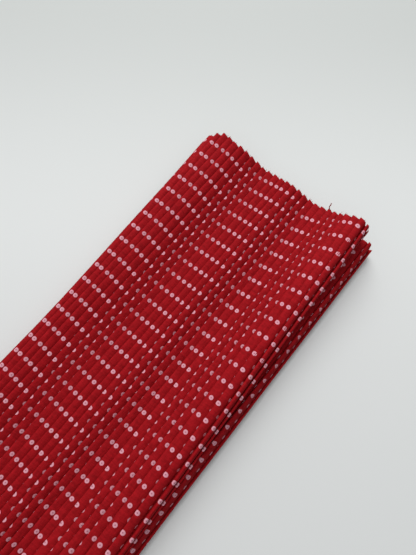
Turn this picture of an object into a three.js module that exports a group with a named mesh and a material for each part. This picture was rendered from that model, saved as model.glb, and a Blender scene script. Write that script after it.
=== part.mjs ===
// A half-metre cut of spotted cotton poplin, set in narrow knife pleats and folded
// back and forth into four layers.
// Millimetres. +X across the folded bundle, +Y along the pleats towards the cut end,
// +Z up. The origin is on the table, under the middle of the bundle.
import * as THREE from 'three';

// ---------------------------------------------------------------- driving sizes
const CUT_LENGTH = 500;        // length of the cut, along the pleats
const SETTLED_AT = 90;         // the rise at the +Y end has settled by here, along Y
const SUNK_AT = -20;           // and the ridge has sunk to its lowest by here
const CURVE_DIVISIONS = 4000;  // fineness with which a section's length is measured
const PLAIN_STEP = 9;          // step along the bottom layer, which lies pressed flat
const CLOTH_COLOUR = 0x8c1c22;

// ---------------------------------------------------------------- the pleats
// Spacing of the pleat edges, from the free left edge on, and then EVEN_PITCH.
const FIRST_EDGE = -1.2;
const PLEAT_RUNS = [
  { pleats: 1, pitch: 3.6 },
  { pleats: 1, pitch: 4.8 },
  { pleats: 1, pitch: 2.9 },
  { pleats: 2, pitch: 3.88 },
  { pleats: 1, pitch: 4.5 },
  { pleats: 3, pitch: 4.93 },
  { pleats: 4, pitch: 5.12 },
  { pleats: 2, pitch: 4.46 },
  { pleats: 4, pitch: 4.75 },
  { pleats: 2, pitch: 5.05 },
  { pleats: 2, pitch: 4.4 },
  { pleats: 1, pitch: 5.2 },
  { pleats: 1, pitch: 6.8 },
  { pleats: 1, pitch: 5.6 },
  { pleats: 1, pitch: 4.6 },
  { pleats: 1, pitch: 3.5 },
  { pleats: 48, pitch: 4.81 },
  { pleats: 1, pitch: 7.4 },
];
const EVEN_PITCH = 4.8;
const WRONG_SIDE = 0.6;        // from a layer's middle line down to its wrong side
// A pleat's printed face: its height above the middle line, at shares of its pitch.
const FACE = [
  { place: 'edge',     share: 0.08, height: 1.75 },
  { place: 'mid-face', share: 0.5,  height: 1.0 },
  { place: 'groove',   share: 0.94, height: -0.1 },
];
// How high the pleats stand along the layers: the ones that lie on others are pressed flat.
const LOFT = [
  { run: 0, loft: 0.75 },
  { run: 38, loft: 0.82 },
  { run: 44, loft: 1.0 },
  { run: 68, loft: 1.0 },
  { run: 73, loft: 0.8 },
  { run: 81, loft: 0.8 },
  { run: 88, loft: 1.0 },
  { run: 108, loft: 1.0 },
  { run: 115, loft: 1.1 },
  { run: 126, loft: 1.1 },
  { run: 129, loft: 0.6 },
  { run: 150, loft: 0.55 },
  { run: 340, loft: 0.55 },
  { run: 359, loft: 1.0 },
  { run: 370, loft: 1.0 },
  { run: 376, loft: 0.55 },
];

// ---------------------------------------------------------------- the folded layers
// Each layer's middle line, in the order in which the cloth runs. "cut" is the section
// at the cut end, +Y, "rest" the one at SETTLED_AT, and "near", where it differs from
// "rest", the one from SUNK_AT to the other end.
const LAYERS = {
  top: [
    { place: 'free edge', cut: [-67.0, 7.8], rest: [-60.2, 3.8] },
    { place: 'left side', cut: [-65.4, 10.6], rest: [-60.5, 7.0] },
    { place: 'left roll', cut: [-62.6, 13.6], rest: [-59.4, 10.4] },
    { place: 'first crown', cut: [-52.0, 14.7], rest: [-51.0, 12.0] },
    { place: 'its far side', cut: [-41.8, 13.8], rest: [-41.8, 11.3] },
    { place: 'first trough', cut: [-25.0, 8.0], rest: [-25.0, 8.6] },
    { place: 'its far side', cut: [-13.5, 9.3], rest: [-13.5, 10.0] },
    { place: 'second crown', cut: [1.0, 12.2], rest: [1.0, 12.5] },
    { place: 'second trough', cut: [14.0, 9.9], rest: [14.0, 11.6] },
    { place: 'third crown', cut: [21.8, 11.5], rest: [22.0, 12.7] },
    { place: 'ramp', cut: [34.7, 17.5], rest: [36.0, 17.2] },
    { place: 'upper ramp', cut: [39.6, 21.4], rest: [43.4, 20.1], near: [45.6, 18.8] },
    { place: 'ridge', cut: [43.9, 24.9], rest: [49.9, 21.6], near: [52.8, 17.9] },
    { place: 'its far side', cut: [46.9, 27.1], rest: [53.7, 20.1], near: [56.4, 15.1] },
  ],
  upperFold: [
    { place: 'shoulder', cut: [49.9, 27.3], rest: [55.5, 17.7], near: [57.2, 13.2] },
    { place: 'outermost', cut: [52.6, 24.4], rest: [56.3, 15.0], near: [57.4, 11.4] },
    { place: 'underneath', cut: [54.2, 20.6], rest: [54.2, 13.0], near: [55.4, 10.4] },
    { place: 'turned back', cut: [53.9, 16.2], rest: [50.4, 12.7], near: [51.0, 11.0] },
  ],
  second: [
    { place: 'under ridge', cut: [50.2, 13.2], rest: [46.0, 12.5], near: [46.0, 11.7] },
    { place: 'under ramp', cut: [37.4, 11.0], rest: [34.7, 11.2] },
    { place: 'third crown', cut: [23.4, 9.1], rest: [22.0, 9.8] },
    { place: 'second trough', cut: [15.0, 7.9], rest: [14.0, 9.0] },
    { place: 'second crown', cut: [1.0, 9.3], rest: [1.0, 9.6] },
    { place: 'its far side', cut: [-13.5, 7.1], rest: [-13.5, 7.8] },
    { place: 'first trough', cut: [-25.0, 5.8], rest: [-25.0, 6.6] },
    { place: 'first crown', cut: [-48.0, 10.2], rest: [-48.0, 8.7] },
  ],
  leftFold: [
    { place: 'above', cut: [-55.2, 9.4], rest: [-54.4, 8.2] },
    { place: 'outermost', cut: [-57.6, 7.4], rest: [-56.8, 6.5] },
    { place: 'below', cut: [-55.2, 5.6], rest: [-54.4, 4.9] },
  ],
  third: [
    { place: 'first crown', cut: [-48.0, 5.8], rest: [-48.0, 4.8] },
    { place: 'first trough', cut: [-25.0, 3.4], rest: [-25.0, 4.0] },
    { place: 'its far side', cut: [-13.5, 4.3], rest: [-13.5, 4.8] },
    { place: 'second crown', cut: [1.0, 5.6], rest: [1.0, 5.6] },
    { place: 'second trough', cut: [14.0, 5.2], rest: [14.0, 5.8] },
    { place: 'under ramp', cut: [34.7, 7.4], rest: [34.7, 7.6] },
    { place: 'under ridge', cut: [48.0, 9.4], rest: [48.0, 9.0], near: [48.0, 8.3] },
    { place: 'recess', cut: [55.6, 10.0], rest: [55.8, 8.9], near: [55.6, 7.8] },
  ],
  lowerFold: [
    { place: 'shoulder', cut: [60.0, 11.5], rest: [58.1, 11.0], near: [58.6, 9.3] },
    { place: 'step', cut: [62.4, 8.6], rest: [61.1, 8.0], near: [61.1, 6.9] },
    { place: 'outermost', cut: [64.2, 5.8], rest: [63.2, 5.4], near: [62.7, 5.0] },
    { place: 'under edge', cut: [62.4, 2.8], rest: [61.6, 2.6], near: [61.2, 2.5] },
    { place: 'at the table', cut: [58.0, 1.2], rest: [57.6, 1.2] },
  ],
};
const BOTTOM_LEVEL = 1.2;      // middle line of the bottom layer, above the table
const BOTTOM_FROM = 54;        // the bottom layer lies flat from here to its edge
const BOTTOM_TO = -59.5;

// ---------------------------------------------------------------- one section
// The middle line from the top layer's free edge to the lower fold, as a smooth curve.
function middleLine(section) {
  const stations = Object.values(LAYERS).flat()
    .map((station) => station[section] ?? station.rest);
  stations.push([BOTTOM_FROM, BOTTOM_LEVEL]);
  return new THREE.SplineCurve(stations.map(([x, z]) => new THREE.Vector2(x, z)));
}

// A value between the rows of LOFT.
function loftAt(run) {
  const next = LOFT.findIndex((row) => row.run > run);
  if (next < 0) {
    return LOFT.at(-1).loft;
  }
  const [low, high] = [LOFT[next - 1], LOFT[next]];
  return THREE.MathUtils.mapLinear(run, low.run, high.run, low.loft, high.loft);
}

// Where every pleat's edge lies along the layers, as far as the lower fold.
function pleatEdges(length) {
  const pitches = PLEAT_RUNS.flatMap(({ pleats, pitch }) => Array(pleats).fill(pitch));
  const edges = [FIRST_EDGE];
  for (let pleat = 0; edges.at(-1) < length; pleat += 1) {
    edges.push(edges.at(-1) + (pitches[pleat] ?? EVEN_PITCH));
  }
  return edges;
}

// Where the ribs stand: three for each pleat. "at" is the place between the stations,
// found once, so that a pleat runs straight along Y. "past" is how far the free edge
// hangs past the first station, as a negative run.
function ribStations() {
  const line = middleLine('rest');
  line.arcLengthDivisions = CURVE_DIVISIONS;
  const length = line.getLength();
  const edges = pleatEdges(length);
  const ribs = [];
  edges.slice(0, -1).forEach((edge, pleat) => {
    const loft = loftAt(Math.max(edge, 0));
    for (const { share, height } of FACE) {
      const run = edge + (edges[pleat + 1] - edge) * share;
      if (run < length) {
        const at = line.getUtoTmapping(Math.max(run, 0) / length);
        ribs.push({ at, past: Math.min(run, 0), rise: height * loft });
      }
    }
  });
  return ribs;
}

// Pairs of points on the two sides of the cloth: { over, under } at every station.
function sectionPairs(section, ribs) {
  const line = middleLine(section);
  const pairs = ribs.map(({ at, past, rise }) => {
    const along = line.getTangent(at);
    const middle = line.getPoint(at).addScaledVector(along, past);
    const across = new THREE.Vector2(-along.y, along.x);
    return {
      over: middle.clone().addScaledVector(across, rise),
      under: middle.clone().addScaledVector(across, -WRONG_SIDE),
    };
  });
  // The lower fold ends on the table, and the bottom layer runs flat from there.
  const top = BOTTOM_LEVEL + WRONG_SIDE;
  const flats = Math.ceil((BOTTOM_FROM - BOTTOM_TO) / PLAIN_STEP);
  for (let step = 0; step <= flats; step += 1) {
    const x = BOTTOM_FROM + (BOTTOM_TO - BOTTOM_FROM) * (step / flats);
    pairs.push({ over: new THREE.Vector2(x, 0), under: new THREE.Vector2(x, top) });
  }
  for (const pair of pairs) {
    pair.over.y = Math.max(pair.over.y, 0);
  }
  return pairs;
}

// ---------------------------------------------------------------- the solid
// Sections stand along Y; every station gives two points in each of them.
function pleatedCloth() {
  const ribs = ribStations();
  const near = sectionPairs('near', ribs);
  const rows = [
    { y: -CUT_LENGTH / 2, pairs: near },
    { y: SUNK_AT, pairs: near },
    { y: SETTLED_AT, pairs: sectionPairs('rest', ribs) },
    { y: CUT_LENGTH / 2, pairs: sectionPairs('cut', ribs) },
  ];

  const stations = near.length;
  const positions = [];
  for (const { y, pairs } of rows) {
    for (const { over, under } of pairs) {
      positions.push(over.x, y, over.y, under.x, y, under.y);
    }
  }
  const over = (row, station) => 2 * (row * stations + station);
  const under = (row, station) => over(row, station) + 1;

  const indices = [];
  const quad = (a, b, c, d) => indices.push(a, b, c, a, c, d);
  for (let row = 0; row < rows.length - 1; row += 1) {
    for (let s = 0; s < stations - 1; s += 1) {
      quad(over(row, s), over(row, s + 1), over(row + 1, s + 1), over(row + 1, s));
      quad(under(row, s), under(row + 1, s), under(row + 1, s + 1), under(row, s + 1));
    }
    const end = stations - 1;
    quad(over(row, 0), over(row + 1, 0), under(row + 1, 0), under(row, 0));
    quad(over(row, end), under(row, end), under(row + 1, end), over(row + 1, end));
  }
  const last = rows.length - 1;
  for (let s = 0; s < stations - 1; s += 1) {
    quad(over(0, s), under(0, s), under(0, s + 1), over(0, s + 1));
    quad(over(last, s), over(last, s + 1), under(last, s + 1), under(last, s));
  }

  const geometry = new THREE.BufferGeometry();
  geometry.setAttribute('position', new THREE.Float32BufferAttribute(positions, 3));
  geometry.setIndex(indices);
  geometry.computeVertexNormals();
  return geometry;
}

const poplin = new THREE.MeshStandardMaterial({
  color: CLOTH_COLOUR, roughness: 0.85, metalness: 0, side: THREE.DoubleSide,
});
const cloth = new THREE.Mesh(pleatedCloth(), poplin);
cloth.name = 'pleated_cloth';

const bundle = new THREE.Group();
bundle.add(cloth);
export default bundle;
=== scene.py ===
import math

import bpy
import numpy as np
from mathutils import Euler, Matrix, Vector


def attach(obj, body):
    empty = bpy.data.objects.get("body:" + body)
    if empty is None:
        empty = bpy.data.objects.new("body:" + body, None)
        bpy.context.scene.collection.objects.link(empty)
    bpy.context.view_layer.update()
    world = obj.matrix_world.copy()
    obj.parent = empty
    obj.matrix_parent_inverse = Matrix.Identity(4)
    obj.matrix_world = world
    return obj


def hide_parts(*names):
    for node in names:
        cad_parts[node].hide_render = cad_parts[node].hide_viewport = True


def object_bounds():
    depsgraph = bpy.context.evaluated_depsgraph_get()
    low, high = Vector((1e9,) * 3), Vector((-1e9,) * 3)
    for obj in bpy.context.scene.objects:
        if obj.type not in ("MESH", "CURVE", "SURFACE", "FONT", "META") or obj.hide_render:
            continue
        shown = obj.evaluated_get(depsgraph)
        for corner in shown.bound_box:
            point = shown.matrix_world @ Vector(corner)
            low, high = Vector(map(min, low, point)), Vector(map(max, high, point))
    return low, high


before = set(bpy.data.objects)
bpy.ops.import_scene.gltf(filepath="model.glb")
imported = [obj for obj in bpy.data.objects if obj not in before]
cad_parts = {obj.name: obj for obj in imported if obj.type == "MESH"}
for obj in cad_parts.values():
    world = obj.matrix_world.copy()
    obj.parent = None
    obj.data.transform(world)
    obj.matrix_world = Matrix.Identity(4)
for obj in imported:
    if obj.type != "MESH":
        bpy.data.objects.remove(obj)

# A half-metre cut of red poplin with printed spots, set in narrow knife pleats and
# folded back and forth into four layers. Sizes are millimetres, and MM turns them into
# metres where a mesh is made. +Y runs along the pleats to the cut end, +Z is up.

MM = 0.001
CLOTH_NODE = "pleated_cloth"
cad_low, cad_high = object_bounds()
NEAR_END = cad_low.y / MM
CUT_END = cad_high.y / MM
CUT_LENGTH = CUT_END - NEAR_END


# ---------------------------------------------------------------- the folded layers
# Each layer's middle line as (x, z), in the order in which the cloth runs. "cut" is the
# section at the cut end, "rest" the one at SETTLED_AT, and "near", where it differs from
# "rest", the one from SUNK_AT to the other end.
LAYERS = {
    "top": [
        {"place": "free edge", "cut": (-67.0, 7.8), "rest": (-60.2, 3.8)},
        {"place": "left side", "cut": (-65.4, 10.6), "rest": (-60.5, 7.0)},
        {"place": "left roll", "cut": (-62.6, 13.6), "rest": (-59.4, 10.4)},
        {"place": "first crown", "cut": (-52.0, 14.7), "rest": (-51.0, 12.0)},
        {"place": "its far side", "cut": (-41.8, 13.8), "rest": (-41.8, 11.3)},
        {"place": "first trough", "cut": (-25.0, 8.0), "rest": (-25.0, 8.6)},
        {"place": "its far side", "cut": (-13.5, 9.3), "rest": (-13.5, 10.0)},
        {"place": "second crown", "cut": (1.0, 12.2), "rest": (1.0, 12.5)},
        {"place": "second trough", "cut": (14.0, 9.9), "rest": (14.0, 11.6)},
        {"place": "third crown", "cut": (21.8, 11.5), "rest": (22.0, 12.7)},
        {"place": "ramp", "cut": (34.7, 17.5), "rest": (36.0, 17.2)},
        {"place": "upper ramp", "cut": (39.6, 21.4), "rest": (43.4, 20.1), "near": (45.6, 18.8)},
        {"place": "ridge", "cut": (43.9, 24.9), "rest": (49.9, 21.6), "near": (52.8, 17.9)},
        {"place": "its far side", "cut": (46.9, 27.1), "rest": (53.7, 20.1), "near": (56.4, 15.1)},
    ],
    "upper fold": [
        {"place": "shoulder", "cut": (49.9, 27.3), "rest": (55.5, 17.7), "near": (57.2, 13.2)},
        {"place": "outermost", "cut": (52.6, 24.4), "rest": (56.3, 15.0), "near": (57.4, 11.4)},
        {"place": "underneath", "cut": (54.2, 20.6), "rest": (54.2, 13.0), "near": (55.4, 10.4)},
        {"place": "turned back", "cut": (53.9, 16.2), "rest": (50.4, 12.7), "near": (51.0, 11.0)},
    ],
    "second": [
        {"place": "under ridge", "cut": (50.2, 13.2), "rest": (46.0, 12.5), "near": (46.0, 11.7)},
        {"place": "under ramp", "cut": (37.4, 11.0), "rest": (34.7, 11.2)},
        {"place": "third crown", "cut": (23.4, 9.1), "rest": (22.0, 9.8)},
        {"place": "second trough", "cut": (15.0, 7.9), "rest": (14.0, 9.0)},
        {"place": "second crown", "cut": (1.0, 9.3), "rest": (1.0, 9.6)},
        {"place": "its far side", "cut": (-13.5, 7.1), "rest": (-13.5, 7.8)},
        {"place": "first trough", "cut": (-25.0, 5.8), "rest": (-25.0, 6.6)},
        {"place": "first crown", "cut": (-48.0, 10.2), "rest": (-48.0, 8.7)},
    ],
    "left fold": [
        {"place": "above", "cut": (-55.2, 9.4), "rest": (-54.4, 8.2)},
        {"place": "outermost", "cut": (-57.6, 7.4), "rest": (-56.8, 6.5)},
        {"place": "below", "cut": (-55.2, 5.6), "rest": (-54.4, 4.9)},
    ],
    "third": [
        {"place": "first crown", "cut": (-48.0, 5.8), "rest": (-48.0, 4.8)},
        {"place": "first trough", "cut": (-25.0, 3.4), "rest": (-25.0, 4.0)},
        {"place": "its far side", "cut": (-13.5, 4.3), "rest": (-13.5, 4.8)},
        {"place": "second crown", "cut": (1.0, 5.6), "rest": (1.0, 5.6)},
        {"place": "second trough", "cut": (14.0, 5.2), "rest": (14.0, 5.8)},
        {"place": "under ramp", "cut": (34.7, 7.4), "rest": (34.7, 7.6)},
        {"place": "under ridge", "cut": (48.0, 9.4), "rest": (48.0, 9.0), "near": (48.0, 8.3)},
        {"place": "recess", "cut": (55.6, 10.0), "rest": (55.8, 8.9), "near": (55.6, 7.8)},
    ],
    "lower fold": [
        {"place": "shoulder", "cut": (60.0, 11.5), "rest": (58.1, 11.0), "near": (58.6, 9.3)},
        {"place": "step", "cut": (62.4, 8.6), "rest": (61.1, 8.0), "near": (61.1, 6.9)},
        {"place": "outermost", "cut": (64.2, 5.8), "rest": (63.2, 5.4), "near": (62.7, 5.0)},
        {"place": "under edge", "cut": (62.4, 2.8), "rest": (61.6, 2.6), "near": (61.2, 2.5)},
        {"place": "at the table", "cut": (58.0, 1.2), "rest": (57.6, 1.2)},
    ],
}
BOTTOM_LEVEL = 1.2      # middle line of the bottom layer, above the table
BOTTOM_FROM = 54.0      # the bottom layer lies flat from here to its edge
BOTTOM_TO = -59.5
BOTTOM_STEP = 8.0
SETTLED_AT = 90.0       # the rise towards the cut end has settled by here, along y
SUNK_AT = -20.0         # and the ridge has sunk to its lowest by here
LINE_SAMPLES = 12000

# ---------------------------------------------------------------- the pleats
# Spacing of the pleat edges, from the free left edge on, and then EVEN_PITCH.
FIRST_EDGE = -1.2
PLEAT_RUNS = [
    {"pleats": 1, "pitch": 3.6},
    {"pleats": 1, "pitch": 4.8},
    {"pleats": 1, "pitch": 2.9},
    {"pleats": 2, "pitch": 3.88},
    {"pleats": 1, "pitch": 4.5},
    {"pleats": 3, "pitch": 4.93},
    {"pleats": 4, "pitch": 5.12},
    {"pleats": 2, "pitch": 4.46},
    {"pleats": 4, "pitch": 4.75},
    {"pleats": 2, "pitch": 5.05},
    {"pleats": 2, "pitch": 4.4},
    {"pleats": 1, "pitch": 5.2},
    {"pleats": 1, "pitch": 6.8},
    {"pleats": 1, "pitch": 5.6},
    {"pleats": 1, "pitch": 4.6},
    {"pleats": 1, "pitch": 3.5},
    {"pleats": 48, "pitch": 4.81},
    {"pleats": 1, "pitch": 7.4},
]
EVEN_PITCH = 4.8
UNDERSIDE = 1.1         # from a layer's middle line down to its wrong side
CREST = 2.85            # a pleat's edge above the wrong side
GROOVE = 0.55           # where its face dips under the next pleat
EDGE_ROUND = 0.62       # radius of the fold at the edge
TUCK_ROUND = 0.24       # radius of the hidden fold
TUCK_LOW = 0.14         # the tuck's lowest layer above the wrong side
TUCK_LEAST = 0.95       # a shallower tuck than this has no room for its two folds
TUCK_DIP = 0.25         # a tuck's upper layer lies this far from TUCK_LOW up to GROOVE
FIT_ROUNDS = 8          # rounds in which a tuck's depth is fitted to its cloth
FACE_BOW = 1.7          # how late the face falls away: 1 would be a plain slope
# Stretches of the layers, by their run from the free left edge.
ON_TOP = {"from": -10, "to": 141}
LOWER_FOLD = {"from": 352, "to": 396}
UNDERNEATH = {"from": 396, "to": 600}
# How high the pleats stand along the layers: the ones that lie on others are pressed flat.
LOFT = [
    {"run": 0, "loft": 0.75},
    {"run": 38, "loft": 0.82},
    {"run": 44, "loft": 1.0},
    {"run": 68, "loft": 1.0},
    {"run": 73, "loft": 0.8},
    {"run": 81, "loft": 0.8},
    {"run": 88, "loft": 1.0},
    {"run": 108, "loft": 1.0},
    {"run": 115, "loft": 1.1},
    {"run": 126, "loft": 1.1},
    {"run": 129, "loft": 0.6},
    {"run": 150, "loft": 0.55},
    {"run": 340, "loft": 0.55},
    {"run": 359, "loft": 1.0},
    {"run": 370, "loft": 1.0},
    {"run": 376, "loft": 0.55},
]
# How far the pleats have slipped to the right at the near end, along the layers.
SLIP = [
    {"run": 8, "slip": 0.0},
    {"run": 15, "slip": 0.7},
    {"run": 28, "slip": 0.8},
    {"run": 34, "slip": 1.3},
    {"run": 48, "slip": 1.2},
    {"run": 57, "slip": 0.5},
    {"run": 66, "slip": 1.2},
    {"run": 77, "slip": 0.2},
    {"run": 88, "slip": 0.0},
    {"run": 101, "slip": 1.3},
    {"run": 105, "slip": 1.3},
    {"run": 110, "slip": 0.4},
    {"run": 122, "slip": -0.6},
    {"run": 130, "slip": -0.6},
    {"run": 136, "slip": 0.0},
]
SLIP_FROM = 150.0       # the slip grows from here, along y
SLIP_TO = 10.0          # to here
# Slow waves along the cloth, as a height, two wave lengths over 2 pi and a start.
SWAYS = [
    {"size": 0.16, "run": 17, "y": 31, "start": 0},
    {"size": 0.10, "run": 6.1, "y": -17, "start": 1.3},
]
SWELLS = [
    {"size": 0.05, "run": 5.3, "y": 23, "start": 0.7},
    {"size": 0.04, "run": 11, "y": -14, "start": 0},
]
CLOTH = 0.24            # thickness of the poplin
PITCH_SCATTER = 0.10    # how far a pleat's edge strays along the layers
SEED = 11

# ---------------------------------------------------------------- the printed spots
SPOT = 2.62             # width of a spot
COLUMN_STEP = 4.6       # from one column of spots to the next
ROW_STEP = 11.0         # down one column; the next column is half a step lower
FIRST_ROW = 11.9        # from the cut end to the first full row
RIM_ANGLE = math.radians(60)
SPOT_LIFT = 0.02        # the print stands this far above the weave
SPOT_REACH = 0.966      # the outermost strip lies this far out, as a share of the radius
RIM_LEAST = 0.02        # least square of half a strip's length, where the rim is narrow
LEAST_STRIP = 0.05      # no strip is cut narrower than this at a fold
FINE_STRIP = 0.5        # widest strip of a spot that shows
COARSE_STRIP = 0.8      # and of one underneath
PRINT_MARGIN = 0.02     # the print ends this far inside a cut end
LEAST_PRINT = 0.05      # a strip cut off shorter than this is drawn together
SPARE_COLUMNS = 6       # tried past the cloth's width; those off the cloth are left out
SPARE_ROWS = 2          # and past its length
SLANT = 0.0038          # the pleats run this much askew of the spot columns
# How far past a pleat's edge the spot column lies, unrolled, pleat by pleat.
PRINT_ON_PLEATS = [
    {"pleat": 0, "past_edge": 2.9},
    {"pleat": 1, "past_edge": 1.9},
    {"pleat": 2, "past_edge": 2},
    {"pleat": 3, "past_edge": 2.3},
    {"pleat": 4, "past_edge": 3.1},
    {"pleat": 5, "past_edge": 2.7},
    {"pleat": 6, "past_edge": 2.1},
    {"pleat": 7, "past_edge": 1.6},
    {"pleat": 8, "past_edge": 0.65},
    {"pleat": 9, "past_edge": 0.25},
    {"pleat": 10, "past_edge": -0.2},
    {"pleat": 11, "past_edge": -0.8},
    {"pleat": 12, "past_edge": -1.7},
    {"pleat": 13, "past_edge": -2.45},
    {"pleat": 14, "past_edge": -3.3},
    {"pleat": 15, "past_edge": -3.3},
    {"pleat": 16, "past_edge": -4.05},
    {"pleat": 17, "past_edge": -4.8},
    {"pleat": 18, "past_edge": -4.9},
    {"pleat": 19, "past_edge": -6.45},
    {"pleat": 20, "past_edge": -7.4},
    {"pleat": 21, "past_edge": -8.7},
    {"pleat": 22, "past_edge": -9.4},
    {"pleat": 23, "past_edge": -8.65},
    {"pleat": 24, "past_edge": -10.0},
    {"pleat": 25, "past_edge": -11.85},
    {"pleat": 26, "past_edge": -12.1},
    {"pleat": 27, "past_edge": -13.05},
    {"pleat": 76, "past_edge": -43.9},
    {"pleat": 77, "past_edge": -48.2},
    {"pleat": 111, "past_edge": -70.2},
]
# The rows of spots wave along y, as pleats have slipped past each other.
ROW_SHIFTS = [
    {"pleat": 1, "shift": 0.8},
    {"pleat": 5, "shift": 0.8},
    {"pleat": 8, "shift": -0.7},
    {"pleat": 15, "shift": -0.55},
    {"pleat": 18, "shift": -0.5},
    {"pleat": 20, "shift": -0.1},
    {"pleat": 22, "shift": 1.05},
    {"pleat": 25, "shift": 2.0},
    {"pleat": 29, "shift": 0.3},
    {"pleat": 35, "shift": 0},
    {"pleat": 67, "shift": 0},
    {"pleat": 76, "shift": 1.2},
    {"pleat": 85, "shift": 0},
]

random = np.random.default_rng(SEED)


def read_off(table, by, value, at):
    """A table's value at each place: straight between its rows, and held at its ends."""
    return np.interp(at, [row[by] for row in table], [row[value] for row in table])


# ---------------------------------------------------------------- middle line
def stations(section):
    """One section's (x, z) stations, from the free left edge to the bottom layer's end."""
    points = [row.get(section, row["rest"]) for rows in LAYERS.values() for row in rows]
    flat = np.arange(BOTTOM_FROM, BOTTOM_TO, -BOTTOM_STEP)
    points += [(x, BOTTOM_LEVEL) for x in flat] + [(BOTTOM_TO, BOTTOM_LEVEL)]
    return np.array(points)


def smooth_line(points, samples):
    """A smooth curve through the points, sampled evenly between them."""
    padded = np.vstack([points[:1], points, points[-1:]])
    at = np.linspace(0, len(points) - 1, samples)
    start = np.minimum(at.astype(int), len(points) - 2)
    t = (at - start)[:, None]
    a, b, c, d = (padded[start + step] for step in range(4))
    cubic = 3 * b - a - 3 * c + d
    square = 2 * a - 5 * b + 4 * c - d
    return 0.5 * (2 * b + (c - a) * t + square * t ** 2 + cubic * t ** 3)


def tangents(line):
    """Which way a line runs, at each of its points."""
    step = np.gradient(line, axis=0)
    return step / np.linalg.norm(step, axis=1)[:, None]


SECTIONS = ("near", "rest", "cut")
lines = {section: smooth_line(stations(section), LINE_SAMPLES) for section in SECTIONS}
turns = {section: tangents(line) for section, line in lines.items()}
step_rest = np.linalg.norm(np.diff(lines["rest"], axis=0), axis=1)
run_rest = np.concatenate([[0], np.cumsum(step_rest)])


def along(line, run):
    """The line's value at each place, held at its ends."""
    at = np.clip(run, 0, run_rest[-1])
    return np.stack([np.interp(at, run_rest, line[:, axis]) for axis in (0, 1)], axis=-1)


def section_shares(y):
    """How much of each section there is at a y; the three add up to 1."""
    cut = np.clip((y - SETTLED_AT) / (CUT_END - SETTLED_AT), 0, 1)
    near = np.clip((SETTLED_AT - y) / (SETTLED_AT - SUNK_AT), 0, 1)
    return {"near": near, "rest": 1 - near - cut, "cut": cut}


def cloth_point(run, height, y):
    """The (x, y, z) of a place on the cloth: its run along the layers and its height."""
    sway, swell = unevenness(run, y)
    run = run + sway
    height = height * swell
    shares = section_shares(y)
    middle = sum(shares[section][..., None] * along(lines[section], run) for section in SECTIONS)
    turn = sum(shares[section][..., None] * along(turns[section], run) for section in SECTIONS)
    turn = turn / np.linalg.norm(turn, axis=-1)[..., None]
    past_ends = np.minimum(run, 0) + np.maximum(run - run_rest[-1], 0)
    middle = middle + turn * past_ends[..., None]
    x = middle[..., 0] - turn[..., 1] * height
    z = middle[..., 1] + turn[..., 0] * height
    return np.stack([x, y, z], axis=-1)


def unevenness(run, y):
    """Slow drifts of the pleats to the side, and of how high they stand."""
    slip = read_off(SLIP, "run", "slip", run)
    slip = slip * np.clip((SLIP_FROM - y) / (SLIP_FROM - SLIP_TO), 0, 1)
    return waved(slip, SWAYS, run, y), waved(1, SWELLS, run, y)


def waved(level, waves, run, y):
    """A level with slow waves added to it."""
    for wave in waves:
        level = level + wave["size"] * np.sin(run / wave["run"] + y / wave["y"] + wave["start"])
    return level


# ---------------------------------------------------------------- pleats in the flat
def pleat_edges():
    """Where each pleat's edge lies along the layers."""
    pitches = [run["pitch"] for run in PLEAT_RUNS for _ in range(run["pleats"])]
    while FIRST_EDGE + sum(pitches) < run_rest[-1] - EVEN_PITCH / 2:
        pitches.append(EVEN_PITCH)
    edges = FIRST_EDGE + np.concatenate([[0], np.cumsum(pitches)])
    edges[1:] += random.uniform(-PITCH_SCATTER, PITCH_SCATTER, len(edges) - 1)
    return edges


edges = pleat_edges()
PLEATS = len(edges) - 1
past_edge = read_off(PRINT_ON_PLEATS, "pleat", "past_edge", np.arange(PLEATS + 1))
row_shift = read_off(ROW_SHIFTS, "pleat", "shift", np.arange(PLEATS + 1))
take_up = 2 * COLUMN_STEP - np.diff(past_edge)
flat_edges = np.concatenate([[0], np.cumsum(take_up)])
FLAT_WIDTH = flat_edges[-1]

# Where a pleat's section has points: degrees round the folds, and shares of the rest.
FINE = {"edge": (180, 135, 90), "face": (0.2, 0.4, 0.58, 0.74, 0.88, 1.0),
        "tuck": (0.35,), "back": (0.5,), "under": (270, 225)}
COARSE = {"edge": (180, 90), "face": (0.5, 1.0), "tuck": (), "back": (), "under": (270,)}


def pleat_profile(pitch, flat, steps, loft):
    """One pleat as rows of (run, height), pressed to its loft, and each row's flat place.

    Undone it is as long as flat says, or longer where its tuck is held at its least.
    """
    depth = max((flat - pitch) / 2, TUCK_LEAST)
    for _ in range(FIT_ROUNDS):
        points = pleat_points(pitch, depth, steps)
        closed = np.vstack([points, [[pitch, CREST - EDGE_ROUND]]])
        pressed = (closed - (0, UNDERSIDE)) * (1, loft)
        length = np.linalg.norm(np.diff(pressed, axis=0), axis=1)
        depth = max(depth + (flat - length.sum()) / 2, TUCK_LEAST)
    along_flat = np.concatenate([[0], np.cumsum(length)])[:-1]
    return pressed[:-1], along_flat * flat / length.sum()


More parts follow.
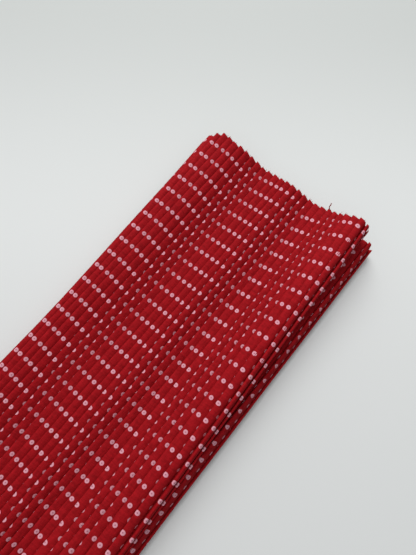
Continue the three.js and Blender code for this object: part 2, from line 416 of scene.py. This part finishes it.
def pleat_points(pitch, depth, steps):
    """One pleat's section: round its edge, down its face, into the tuck and back."""
    centre = CREST - EDGE_ROUND
    points = []
    for degrees in steps["edge"]:
        angle = math.radians(degrees)
        points.append((EDGE_ROUND * (1 + math.cos(angle)), centre + EDGE_ROUND * math.sin(angle)))
    for share in steps["face"]:
        fall = (CREST - GROOVE) * share ** FACE_BOW
        points.append((EDGE_ROUND + (pitch - EDGE_ROUND) * share, CREST - fall))
    tip = pitch + depth
    for share in steps["tuck"]:
        dip = TUCK_LOW + (GROOVE - TUCK_LOW) * TUCK_DIP
        points.append((pitch + (tip - pitch) * share, dip))
    points.append((tip - TUCK_ROUND, TUCK_LOW))
    points.append((tip, TUCK_LOW + TUCK_ROUND))
    points.append((tip - TUCK_ROUND, TUCK_LOW + 2 * TUCK_ROUND))
    under = centre - EDGE_ROUND
    back_from = np.array([tip - TUCK_ROUND, TUCK_LOW + 2 * TUCK_ROUND])
    back_to = np.array([pitch + EDGE_ROUND, under])
    for share in steps["back"]:
        points.append(tuple(back_from + (back_to - back_from) * share))
    for degrees in steps["under"]:
        angle = math.radians(degrees)
        points.append((pitch + EDGE_ROUND * (1 + math.cos(angle)),
                       centre + EDGE_ROUND * math.sin(angle)))
    return np.array(points)


def is_seen(run):
    """Pleats on the top layer and round both right-hand folds are made finer."""
    return run < ON_TOP["to"] or LOWER_FOLD["from"] < run < LOWER_FOLD["to"]


def cloth_columns():
    """Every column of the sheet: its run, height, flat place and share of its pleat."""
    runs, heights, flats, shares = [], [], [], []
    for index in range(PLEATS):
        pitch = edges[index + 1] - edges[index]
        steps = FINE if is_seen(edges[index]) else COARSE
        loft = read_off(LOFT, "run", "loft", edges[index])
        points, flat = pleat_profile(pitch, take_up[index], steps, loft)
        runs.extend(edges[index] + points[:, 0])
        heights.extend(points[:, 1])
        flats.extend(flat_edges[index] + flat)
        shares.extend(flat / take_up[index])
    return (np.array(values) for values in (runs, heights, flats, shares))


column_run, column_height, column_flat, column_share = cloth_columns()
COLUMNS = len(column_run)


# ---------------------------------------------------------------- both ends
# How far each pleat's end reaches past the straight line of the cut.
CUT_EDGE = [
    {"pleat": 1, "reach": 0.6},
    {"pleat": 5, "reach": -0.9},
    {"pleat": 9, "reach": 0.5},
    {"pleat": 21, "reach": 0.6},
    {"pleat": 25, "reach": 1.5},
    {"pleat": 29, "reach": 0.6},
    {"pleat": 61, "reach": 0.0},
    {"pleat": 76, "reach": 1.0},
]
TOOTH = 0.5             # how deep the saw teeth of a cut end are
TOOTH_TIP = 0.45        # where in a pleat's cloth the cut lies furthest in
CUT_SCATTER = 0.5       # how much further in single pleats are cut
CORNER_WIDTH = 29.0     # flat width of the slanting corner at the free left edge
CORNER_CUT = 11.0       # and how far the cut slants back there


def end_retreat(share, spread):
    """How far the cut lies inside the straight line, at each column."""
    saw = TOOTH * np.minimum(share / TOOTH_TIP, (1 - share) / (1 - TOOTH_TIP))
    return saw + spread


spread_by_pleat = random.uniform(0, CUT_SCATTER, PLEATS + 1)
column_pleat = np.searchsorted(flat_edges, column_flat, side="right") - 1
column_spread = spread_by_pleat[column_pleat]
cut_retreat = end_retreat(column_share, column_spread)
corner = np.clip(1 - column_flat / CORNER_WIDTH, 0, 1)
column_shift = np.interp(column_flat, flat_edges, row_shift)
cut_reach = np.interp(column_flat, flat_edges[[row["pleat"] for row in CUT_EDGE]],
                      [row["reach"] for row in CUT_EDGE])
cut_retreat = cut_retreat + CORNER_CUT * corner - cut_reach
near_retreat = end_retreat(column_share, column_spread[::-1]) + column_shift

END_ROWS = (0.0, 1.2, 3.0, 6.0)
MIDDLE_ROWS = 25
END_GAP = 6.0           # from the last of the end rows to the first middle row
inner = END_ROWS[-1] + END_GAP
row_y = np.concatenate([
    NEAR_END + np.array(END_ROWS),
    np.linspace(NEAR_END + inner, CUT_END - inner, MIDDLE_ROWS),
    CUT_END - np.array(END_ROWS[::-1]),
])
ROWS = len(row_y)
END_REACH = 25.0        # the rows are drawn in over this length next to a cut


def drawn_in():
    """The y of every vertex, row by row, with the ends cut as ragged as they are."""
    near = np.clip(1 - (row_y - NEAR_END) / END_REACH, 0, 1)[:, None]
    far = np.clip(1 - (CUT_END - row_y) / END_REACH, 0, 1)[:, None]
    return row_y[:, None] + near * near_retreat[None, :] - far * cut_retreat[None, :]


grid_y = drawn_in()
grid_points = cloth_point(
    np.broadcast_to(column_run, (ROWS, COLUMNS)),
    np.broadcast_to(column_height, (ROWS, COLUMNS)),
    grid_y,
)


def grid_normals():
    """Which way the printed side faces, at each vertex: left of the way the cloth runs."""
    ahead = np.gradient(grid_points, axis=1)
    normal = np.stack([-ahead[..., 2], np.zeros((ROWS, COLUMNS)), ahead[..., 0]], axis=-1)
    return normal / np.linalg.norm(normal, axis=-1)[..., None]


grid_facing = grid_normals()


def slot_of(points, at):
    """The step of a rising list that holds a place, and how far along it that is."""
    low = int(np.clip(np.searchsorted(points, at, side="right") - 1, 0, len(points) - 2))
    gap = points[low + 1] - points[low]
    return low, (at - points[low]) / gap


def edge_y(flat, end):
    """Where the cloth ends at a flat place: end is -1 at the cut end, 0 at the other."""
    column, share = slot_of(column_flat, flat)
    return (1 - share) * grid_y[end, column] + share * grid_y[end, column + 1]


def on_cloth(flat, y, lift):
    """A place on the made sheet, by its flat distance across and its y, lifted off it."""
    column, across = slot_of(column_flat, flat)
    ends = []
    for side in (column, column + 1):
        row, up = slot_of(grid_y[:, side], y)
        point = grid_points[row, side] * (1 - up) + grid_points[row + 1, side] * up
        facing = grid_facing[row, side] * (1 - up) + grid_facing[row + 1, side] * up
        ends.append(point + facing * lift)
    return ends[0] * (1 - across) + ends[1] * across


# ---------------------------------------------------------------- making meshes
def deselect_all():
    """An operator acts on all that is selected, so nothing else may be."""
    for obj in bpy.context.selected_objects:
        obj.select_set(False)


def mesh_object(name, points, faces, places, material):
    """A mesh from points in millimetres, with a UV place for each point."""
    mesh = bpy.data.meshes.new(name)
    mesh.from_pydata([tuple(point) for point in np.asarray(points) * MM], [], faces)
    obj = bpy.data.objects.new(name, mesh)
    bpy.context.collection.objects.link(obj)
    lay_out(obj, np.asarray(places))
    mesh.materials.append(material)
    mesh.polygons.foreach_set("use_smooth", [True] * len(mesh.polygons))
    mesh.update()
    mesh.set_sharp_from_angle(angle=RIM_ANGLE)
    return obj


def lay_out(obj, places):
    """The UV map, from a (u, v) place for each vertex."""
    mesh = obj.data
    layer = mesh.uv_layers.get("OFBake") or mesh.uv_layers.new(name="OFBake")
    corners = np.empty(len(mesh.loops), dtype=int)
    mesh.loops.foreach_get("vertex_index", corners)
    layer.data.foreach_set("uv", places[corners].astype(np.float32).ravel())


# ---------------------------------------------------------------- materials
def colour(red, green, blue):
    """Linear colour from 0-255 screen values."""
    def linear(value):
        value /= 255
        return value / 12.92 if value <= 0.04045 else ((value + 0.055) / 1.055) ** 2.4
    return (linear(red), linear(green), linear(blue), 1.0)


YARN = 0.28             # from one yarn to the next
YARN_WANDER = 0.6       # how unevenly the yarns lie
YARN_HEIGHT = 0.06
YARN_BUMP = 0.35        # how far the yarns tilt the surface
WAVE_RADIANS = 20       # a wave texture of scale 1 has this many radians to the metre
CRINKLE = 0.55          # how far the fine creases tilt the surface
CRINKLE_HEIGHT = 0.4
CRINKLE_SCALE = 900     # noise scales are per metre
WEFT_SCALE = 800
WARP_SCALE = 650
NOISE_LOW = 0.7         # the two noises together mostly lie between these
NOISE_HIGH = 1.3
RED_DARK = colour(146, 11, 19)
RED_BRIGHT = colour(178, 20, 29)
RED_SHEEN = colour(255, 90, 90)
PALE_SHEEN = colour(255, 200, 205)
SHEEN_ROUGHNESS = 0.45
GLOSS = 0.12


def weave(nodes, links, flat_size):
    """Metres across the flat cloth, and the height of its crossing yarns, 0 to 1."""
    flat = nodes.new("ShaderNodeUVMap")
    flat.uv_map = "OFBake"
    to_metres = nodes.new("ShaderNodeMapping")
    to_metres.inputs["Scale"].default_value = (flat_size[0] * MM, flat_size[1] * MM, 1)
    links.new(flat.outputs["UV"], to_metres.inputs["Vector"])
    waves = []
    for direction in ("X", "Y"):
        wave = nodes.new("ShaderNodeTexWave")
        wave.wave_type = "BANDS"
        wave.bands_direction = direction
        wave.inputs["Scale"].default_value = 2 * math.pi / (YARN * MM) / WAVE_RADIANS
        wave.inputs["Distortion"].default_value = YARN_WANDER
        wave.inputs["Detail"].default_value = 1.0
        wave.inputs["Detail Scale"].default_value = 0.4
        links.new(to_metres.outputs["Vector"], wave.inputs["Vector"])
        waves.append(wave)
    crossing = nodes.new("ShaderNodeMath")
    crossing.operation = "MULTIPLY"
    links.new(waves[0].outputs["Fac"], crossing.inputs[0])
    links.new(waves[1].outputs["Fac"], crossing.inputs[1])
    return to_metres.outputs["Vector"], crossing.outputs["Value"]


def cotton(name, flat_size, roughness, sheen, tint):
    """A matt cotton surface with the weave as bump. Its colour is linked in afterwards."""
    material = bpy.data.materials.new(name)
    material.use_nodes = True
    nodes, links = material.node_tree.nodes, material.node_tree.links
    shader = nodes["Principled BSDF"]
    shader.inputs["Roughness"].default_value = roughness
    shader.inputs["Sheen Weight"].default_value = sheen
    shader.inputs["Sheen Roughness"].default_value = SHEEN_ROUGHNESS
    shader.inputs["Sheen Tint"].default_value = tint
    shader.inputs["Specular IOR Level"].default_value = GLOSS
    metres, crossing = weave(nodes, links, flat_size)
    bump = nodes.new("ShaderNodeBump")
    bump.inputs["Strength"].default_value = YARN_BUMP
    bump.inputs["Distance"].default_value = YARN_HEIGHT * MM
    links.new(crossing, bump.inputs["Height"])
    crinkle = nodes.new("ShaderNodeBump")
    crinkle.inputs["Strength"].default_value = CRINKLE
    crinkle.inputs["Distance"].default_value = CRINKLE_HEIGHT * MM
    creases = slub_noise(nodes, links, metres, CRINKLE_SCALE, stretch=(1.0, 0.6))
    links.new(creases, crinkle.inputs["Height"])
    links.new(bump.outputs["Normal"], crinkle.inputs["Normal"])
    links.new(crinkle.outputs["Normal"], shader.inputs["Normal"])
    return material, metres


def slub_noise(nodes, links, metres, scale, stretch):
    """Slow noise, drawn out along the yarns."""
    drawn = nodes.new("ShaderNodeMapping")
    drawn.inputs["Scale"].default_value = (stretch[0], stretch[1], 1.0)
    links.new(metres, drawn.inputs["Vector"])
    noise = nodes.new("ShaderNodeTexNoise")
    noise.inputs["Scale"].default_value = scale
    noise.inputs["Detail"].default_value = 3.0
    links.new(drawn.outputs["Vector"], noise.inputs["Vector"])
    return noise.outputs["Fac"]


def red_cotton():
    """The dyed cloth: two reds, mixed by slubs along the weft and the warp."""
    material, metres = cotton("red poplin", (FLAT_WIDTH, CUT_LENGTH), roughness=0.8,
                              sheen=0.08, tint=RED_SHEEN)
    nodes, links = material.node_tree.nodes, material.node_tree.links
    weft = slub_noise(nodes, links, metres, WEFT_SCALE, stretch=(0.25, 1.0))
    warp = slub_noise(nodes, links, metres, WARP_SCALE, stretch=(1.0, 0.3))
    both = nodes.new("ShaderNodeMath")
    both.operation = "ADD"
    links.new(weft, both.inputs[0])
    links.new(warp, both.inputs[1])
    ramp = nodes.new("ShaderNodeMapRange")
    ramp.inputs["From Min"].default_value = NOISE_LOW
    ramp.inputs["From Max"].default_value = NOISE_HIGH
    links.new(both.outputs["Value"], ramp.inputs["Value"])
    mix = nodes.new("ShaderNodeMix")
    mix.data_type = "RGBA"
    mix.inputs["A"].default_value = RED_DARK
    mix.inputs["B"].default_value = RED_BRIGHT
    links.new(ramp.outputs["Result"], mix.inputs["Factor"])
    links.new(mix.outputs["Result"], nodes["Principled BSDF"].inputs["Base Color"])
    return material


# The ink of a spot from its middle to its rim, as a share of its width.
SPOT_INK = [
    {"at": 0.00, "ink": colour(186, 112, 128)},
    {"at": 0.08, "ink": colour(190, 118, 134)},
    {"at": 0.20, "ink": colour(234, 168, 181)},
    {"at": 0.40, "ink": colour(237, 170, 183)},
    {"at": 0.50, "ink": colour(204, 106, 119)},
]


def printed_spot():
    """Pale ink with a darker pinhole and rim, by the distance from the spot's middle."""
    material, _ = cotton("spot print", (SPOT, SPOT), roughness=0.85, sheen=0.05,
                         tint=PALE_SHEEN)
    nodes, links = material.node_tree.nodes, material.node_tree.links
    flat = nodes["UV Map"]
    from_middle = nodes.new("ShaderNodeVectorMath")
    from_middle.operation = "DISTANCE"
    from_middle.inputs[1].default_value = (0.5, 0.5, 0)
    links.new(flat.outputs["UV"], from_middle.inputs[0])
    ramp = nodes.new("ShaderNodeValToRGB")
    stops = ramp.color_ramp.elements
    while len(stops) < len(SPOT_INK):
        stops.new(0.5)
    for stop, row in zip(stops, SPOT_INK):
        stop.position = row["at"]
        stop.color = row["ink"]
    links.new(from_middle.outputs["Value"], ramp.inputs["Fac"])
    links.new(ramp.outputs["Color"], nodes["Principled BSDF"].inputs["Base Color"])
    return material


red_poplin = red_cotton()
spot_print = printed_spot()


# ---------------------------------------------------------------- the sheet
def pleated_sheet():
    """The flat cut as a grid, every vertex then folded to its place."""
    deselect_all()
    bpy.ops.mesh.primitive_grid_add(x_subdivisions=COLUMNS - 1, y_subdivisions=ROWS - 1,
                                    size=1, location=(0, 0, 0))
    sheet = bpy.context.object
    sheet.name = "pleated_poplin"
    mesh = sheet.data
    mesh.name = sheet.name
    flat = np.empty(3 * len(mesh.vertices), dtype=np.float32)
    mesh.vertices.foreach_get("co", flat)
    flat = flat.reshape(-1, 3)
    column = np.rint((flat[:, 0] + 0.5) * (COLUMNS - 1)).astype(int)
    row = np.rint((flat[:, 1] + 0.5) * (ROWS - 1)).astype(int)
    folded = grid_points[row, column] * MM
    mesh.vertices.foreach_set("co", folded.astype(np.float32).ravel())
    while mesh.uv_layers:
        mesh.uv_layers.remove(mesh.uv_layers[0])
    lay_out(sheet, np.stack([column_flat[column] / FLAT_WIDTH,
                             (CUT_END - grid_y[row, column]) / CUT_LENGTH], axis=1))
    mesh.materials.append(red_poplin)
    mesh.polygons.foreach_set("use_smooth", [True] * len(mesh.polygons))
    mesh.update()

    thicken = sheet.modifiers.new("cloth thickness", "SOLIDIFY")
    thicken.thickness = CLOTH * MM
    thicken.offset = 0
    deselect_all()
    sheet.select_set(True)
    bpy.context.view_layer.objects.active = sheet
    bpy.ops.object.modifier_apply(modifier=thicken.name)
    return sheet


sheet = pleated_sheet()


# ---------------------------------------------------------------- the spots
def spot_centres():
    """The half-drop repeat: every other column is shifted by half a row."""
    first_column = past_edge[0] - math.ceil(past_edge[0] / (2 * COLUMN_STEP)) * 2 * COLUMN_STEP
    centres = []
    columns = int(FLAT_WIDTH / COLUMN_STEP) + SPARE_COLUMNS
    rows = int(CUT_LENGTH / ROW_STEP) + SPARE_ROWS
    for column in range(columns):
        half = (column % 2) * ROW_STEP / 2
        for row in range(rows):
            down = FIRST_ROW + row * ROW_STEP - half
            across = first_column + column * COLUMN_STEP - SLANT * down
            y = CUT_END - down + np.interp(across, flat_edges, row_shift)
            inside = -SPOT / 2 < across < FLAT_WIDTH + SPOT / 2
            if inside and NEAR_END - SPOT / 2 < y < CUT_END + SPOT / 2:
                centres.append((across, y))
    return centres


def spot_columns(across, widest_strip):
    """Where a spot is cut into strips: at the sheet's own columns, and between them."""
    reach = SPOT / 2 * SPOT_REACH
    low = max(across - reach, column_flat[0])
    high = min(across + reach, column_flat[-1])
    inside = (column_flat > low + LEAST_STRIP) & (column_flat < high - LEAST_STRIP)
    kinks = column_flat[inside]
    places = [low]
    for place in list(kinks) + [high]:
        parts = max(1, math.ceil((place - places[-1]) / widest_strip))
        places += list(np.linspace(places[-1], place, parts + 1)[1:])
    return places


def add_spot(across, y, widest_strip, points, faces, places_in_spot):
    """One spot as a thin closed slab that follows the sheet's folds."""
    places = spot_columns(across, widest_strip)
    if len(places) < 3:
        return
    start = len(points)
    for place in places:
        half = math.sqrt(max((SPOT / 2) ** 2 - (place - across) ** 2, RIM_LEAST))
        cut_y, near_y = edge_y(place, -1), edge_y(place, 0)
        far = min(y + half, cut_y - PRINT_MARGIN)
        near = max(y - half, near_y + PRINT_MARGIN)
        if far - near < LEAST_PRINT:
            far = near = min(max(y, near_y + LEAST_PRINT), cut_y - LEAST_PRINT)
            far += PRINT_MARGIN
        for lift in (CLOTH / 2 + SPOT_LIFT, 0.0):
            for side in (far, near):
                points.append(on_cloth(place, side, lift))
                places_in_spot.append((0.5 + (place - across) / SPOT, 0.5 + (side - y) / SPOT))
    for step in range(len(places) - 1):
        a = start + 4 * step
        b = a + 4
        faces.append((a, a + 1, b + 1, b))
        faces.append((a + 2, b + 2, b + 3, a + 3))
        faces.append((a, b, b + 2, a + 2))
        faces.append((a + 1, a + 3, b + 3, b + 1))
    last = start + 4 * (len(places) - 1)
    faces.append((start, start + 2, start + 3, start + 1))
    faces.append((last, last + 1, last + 3, last + 2))


def spots(name, stretch, widest_strip):
    """All the spots whose pleats lie on one stretch of the layers."""
    points, faces, places_in_spot = [], [], []
    for across, y in spot_centres():
        run = np.interp(across, column_flat, column_run)
        if stretch["from"] <= run < stretch["to"]:
            add_spot(across, y, widest_strip, points, faces, places_in_spot)
    return mesh_object(name, points, faces, places_in_spot, spot_print)


spot_pieces = [
    spots("spots_on_top", ON_TOP, FINE_STRIP),
    spots("spots_round_lower_fold", LOWER_FOLD, FINE_STRIP),
    spots("spots_underneath", UNDERNEATH, COARSE_STRIP),
]


# ---------------------------------------------------------------- frayed yarn ends
FRAY_STEP = 1.7         # flat distance from one loose yarn end to the next
FRAY_WIDTH = 0.24
FRAY_SIDES = 4
FRAY_ROOTED = 1.0       # how far inside the cut a yarn end starts
FRAY_SCATTER = 0.45     # how far a yarn end strays to the side, as a share of FRAY_STEP
FRAY_SHORT = 0.5        # the shortest yarn ends
FRAY_LONGER = 1.4       # and how much longer a few are
FRAY_DRIFT = 0.35       # how far a yarn end leans over, as a share of its reach
FRAY_BEND = 0.6         # where along it a yarn end starts to lean
TAPER = 0.4             # the tip is this much thinner than the root
TUBE_SIDE = (0.31, 0.17, 0.93)      # any direction that no yarn runs in
# The one long thread that stands up from the cut end: steps from the cloth's edge, in mm.
THREAD_RUN = 95.6
THREAD_WIDTH = 1.1
THREAD_SAMPLES = 4      # points of the tube for each step
THREAD_STEPS = [
    {"x": 0.0, "y": -1.2, "z": -0.2},
    {"x": 0.9, "y": 0.3, "z": 0.6},
    {"x": 1.3, "y": 0.9, "z": 1.2},
    {"x": 0.5, "y": 1.3, "z": 1.2},
    {"x": -0.1, "y": 0.6, "z": 1.0},
    {"x": -0.3, "y": 1.4, "z": 1.9},
    {"x": -1.0, "y": 2.1, "z": 2.8},
    {"x": -1.0, "y": 3.0, "z": 3.7},
    {"x": -1.4, "y": 3.8, "z": 4.5},
]


def add_tube(path, width, points, faces, places):
    """A thin closed tube along a path, that narrows a little towards its tip."""
    start = len(points)
    path = np.asarray(path)
    ahead = np.gradient(path, axis=0)
    for place, direction in enumerate(ahead):
        share = place / (len(path) - 1)
        side = np.cross(direction, TUBE_SIDE)
        side /= np.linalg.norm(side)
        lift = np.cross(side, direction / np.linalg.norm(direction))
        for corner_index in range(FRAY_SIDES):
            angle = 2 * math.pi * corner_index / FRAY_SIDES
            out = (side * math.cos(angle) + lift * math.sin(angle)) * width / 2
            points.append(path[place] + out * (1 - TAPER * share))
            places.append((corner_index / FRAY_SIDES, share))
    for place in range(len(path) - 1):
        for corner_index in range(FRAY_SIDES):
            a = start + place * FRAY_SIDES + corner_index
            b = start + place * FRAY_SIDES + (corner_index + 1) % FRAY_SIDES
            faces.append((a, b, b + FRAY_SIDES, a + FRAY_SIDES))
    last = start + (len(path) - 1) * FRAY_SIDES
    faces.append(tuple(start + FRAY_SIDES - 1 - k for k in range(FRAY_SIDES)))
    faces.append(tuple(last + k for k in range(FRAY_SIDES)))


def frayed_yarns():
    """Short yarn ends along both cuts, and the one long thread, as thin tubes."""
    points, faces, places = [], [], []
    for end, outward in ((-1, 1), (0, -1)):
        for flat in np.arange(FRAY_STEP, FLAT_WIDTH - FRAY_STEP, FRAY_STEP):
            flat += random.uniform(-FRAY_SCATTER, FRAY_SCATTER) * FRAY_STEP
            reach = FRAY_SHORT + FRAY_LONGER * random.random() ** 3
            edge = edge_y(flat, end)
            path = [on_cloth(flat, edge + outward * out, 0)
                    for out in (-FRAY_ROOTED, 0, reach * FRAY_BEND, reach)]
            drift = random.uniform(-FRAY_DRIFT, FRAY_DRIFT, 3) * (1, 0, 0.7)
            path[2] = path[2] + drift * 0.3 * reach
            path[3] = path[3] + drift * reach
            for step in path[2:]:
                step[2] = max(step[2], FRAY_WIDTH)
            add_tube(path, FRAY_WIDTH, points, faces, places)
    flat = np.interp(THREAD_RUN, column_run, column_flat)
    root = on_cloth(flat, edge_y(flat, -1), 0)
    steps = np.array([[step["x"], step["y"], step["z"]] for step in THREAD_STEPS])
    thread = root + smooth_line(steps, THREAD_SAMPLES * len(steps))
    add_tube(thread, THREAD_WIDTH, points, faces, places)
    return mesh_object("frayed_yarns", points, faces, places, red_poplin)


fringe = frayed_yarns()
pieces = spot_pieces + [fringe]

for piece in [sheet] + pieces:
    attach(piece, "root")
    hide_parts(CLOTH_NODE)


# ---------------------------------------------------------------- floor, light, camera
BRIGHT_SIDE = (-0.55, 0.35, 0.75)
SKY_DARK = 0.20
SKY_BRIGHT = 0.54
SKY_DARK_FROM = -0.35   # the sky is at its darkest from this far away from BRIGHT_SIDE
SKY_COLOUR = colour(250, 252, 255)
WINDOW = {"at": (-0.45, 0.68, 0.75), "aim": (0, 0.15, 0), "size": 0.8, "watts": 7.3}
CAMERA_AT = (0.0302, 0.1090, 0.2466)
CAMERA_TURN = (15.525, -2.729, 39.732)      # degrees about X, Y and Z
CAMERA_LENS = 25.95                         # with a sensor 36 mm wide
TABLE_RADIUS = 4
TABLE_GAP = 0.0002      # the table lies this far under the cloth, in metres

# How far the table reaches up the view, in metres, and its colour there, with painted shade making
# it darker far off.
UP_THE_VIEW = (-0.64, 0.77, 0)
TABLE_NEAR = {"at": 0.14, "shade": colour(238, 240, 238)}
TABLE_FAR = {"at": 0.38, "shade": colour(203, 206, 203)}
TABLE_BOUNCE = colour(150, 150, 150)    # what the table throws back onto the cloth


def table_card():
    """Matt pale card, with painted shade making it a little darker far off."""
    material = bpy.data.materials.new("pale card")
    material.use_nodes = True
    nodes, links = material.node_tree.nodes, material.node_tree.links
    place = nodes.new("ShaderNodeTexCoord")
    up = nodes.new("ShaderNodeVectorMath")
    up.operation = "DOT_PRODUCT"
    up.inputs[1].default_value = UP_THE_VIEW
    links.new(place.outputs["Object"], up.inputs[0])
    # Painted shade: the card's colour darkens up the view, from TABLE_NEAR to TABLE_FAR.
    painted_shade_far_off = nodes.new("ShaderNodeMapRange")
    painted_shade_far_off.interpolation_type = "SMOOTHSTEP"
    painted_shade_far_off.inputs["From Min"].default_value = TABLE_NEAR["at"]
    painted_shade_far_off.inputs["From Max"].default_value = TABLE_FAR["at"]
    links.new(up.outputs["Value"], painted_shade_far_off.inputs["Value"])
    shade = nodes.new("ShaderNodeMix")
    shade.data_type = "RGBA"
    shade.inputs["A"].default_value = TABLE_NEAR["shade"]
    shade.inputs["B"].default_value = TABLE_FAR["shade"]
    links.new(painted_shade_far_off.outputs["Result"], shade.inputs["Factor"])
    ray = nodes.new("ShaderNodeLightPath")
    seen = nodes.new("ShaderNodeMix")
    seen.data_type = "RGBA"
    seen.inputs["A"].default_value = TABLE_BOUNCE
    links.new(ray.outputs["Is Camera Ray"], seen.inputs["Factor"])
    links.new(shade.outputs["Result"], seen.inputs["B"])
    shader = nodes["Principled BSDF"]
    shader.inputs["Roughness"].default_value = 0.9
    links.new(seen.outputs["Result"], shader.inputs["Base Color"])
    return material


def floor():
    """The round table that the cloth lies on."""
    deselect_all()
    bpy.ops.mesh.primitive_circle_add(vertices=96, radius=TABLE_RADIUS, fill_type="NGON",
                                      location=(0, 0, -TABLE_GAP))
    table = bpy.context.object
    table.name = "table_top"
    table.data.materials.append(table_card())


def sky():
    """Soft room light: brightest high up on the left, dark low down on the right."""
    world = bpy.data.worlds.new("soft room light")
    bpy.context.scene.world = world
    world.use_nodes = True
    nodes, links = world.node_tree.nodes, world.node_tree.links
    direction = nodes.new("ShaderNodeTexCoord")
    towards = nodes.new("ShaderNodeVectorMath")
    towards.operation = "DOT_PRODUCT"
    towards.inputs[1].default_value = Vector(BRIGHT_SIDE).normalized()
    links.new(direction.outputs["Generated"], towards.inputs[0])
    spread = nodes.new("ShaderNodeMapRange")
    spread.inputs["From Min"].default_value = SKY_DARK_FROM
    spread.inputs["From Max"].default_value = 1.0
    spread.inputs["To Min"].default_value = SKY_DARK
    spread.inputs["To Max"].default_value = SKY_BRIGHT
    links.new(towards.outputs["Value"], spread.inputs["Value"])
    back = nodes["Background"]
    back.inputs["Color"].default_value = SKY_COLOUR
    links.new(spread.outputs["Result"], back.inputs["Strength"])


def window():
    """One large soft light that aims at the cloth."""
    lamp = bpy.data.lights.new("window", "AREA")
    lamp.shape = "DISK"
    lamp.size = WINDOW["size"]
    lamp.energy = WINDOW["watts"]
    obj = bpy.data.objects.new("window", lamp)
    obj.location = WINDOW["at"]
    towards = Vector(WINDOW["aim"]) - Vector(WINDOW["at"])
    obj.rotation_euler = towards.to_track_quat("-Z", "Y").to_euler()
    bpy.context.collection.objects.link(obj)


def camera():
    """Close above the cloth, looking down on its far right corner."""
    data = bpy.data.cameras.new("camera")
    data.sensor_width = 36
    data.lens = CAMERA_LENS
    data.clip_start = 0.01
    obj = bpy.data.objects.new("camera", data)
    obj.location = CAMERA_AT
    obj.rotation_euler = Euler([math.radians(angle) for angle in CAMERA_TURN])
    bpy.context.collection.objects.link(obj)
    bpy.context.scene.camera = obj


floor()
sky()
window()
camera()
bpy.context.scene.view_settings.view_transform = "Standard"
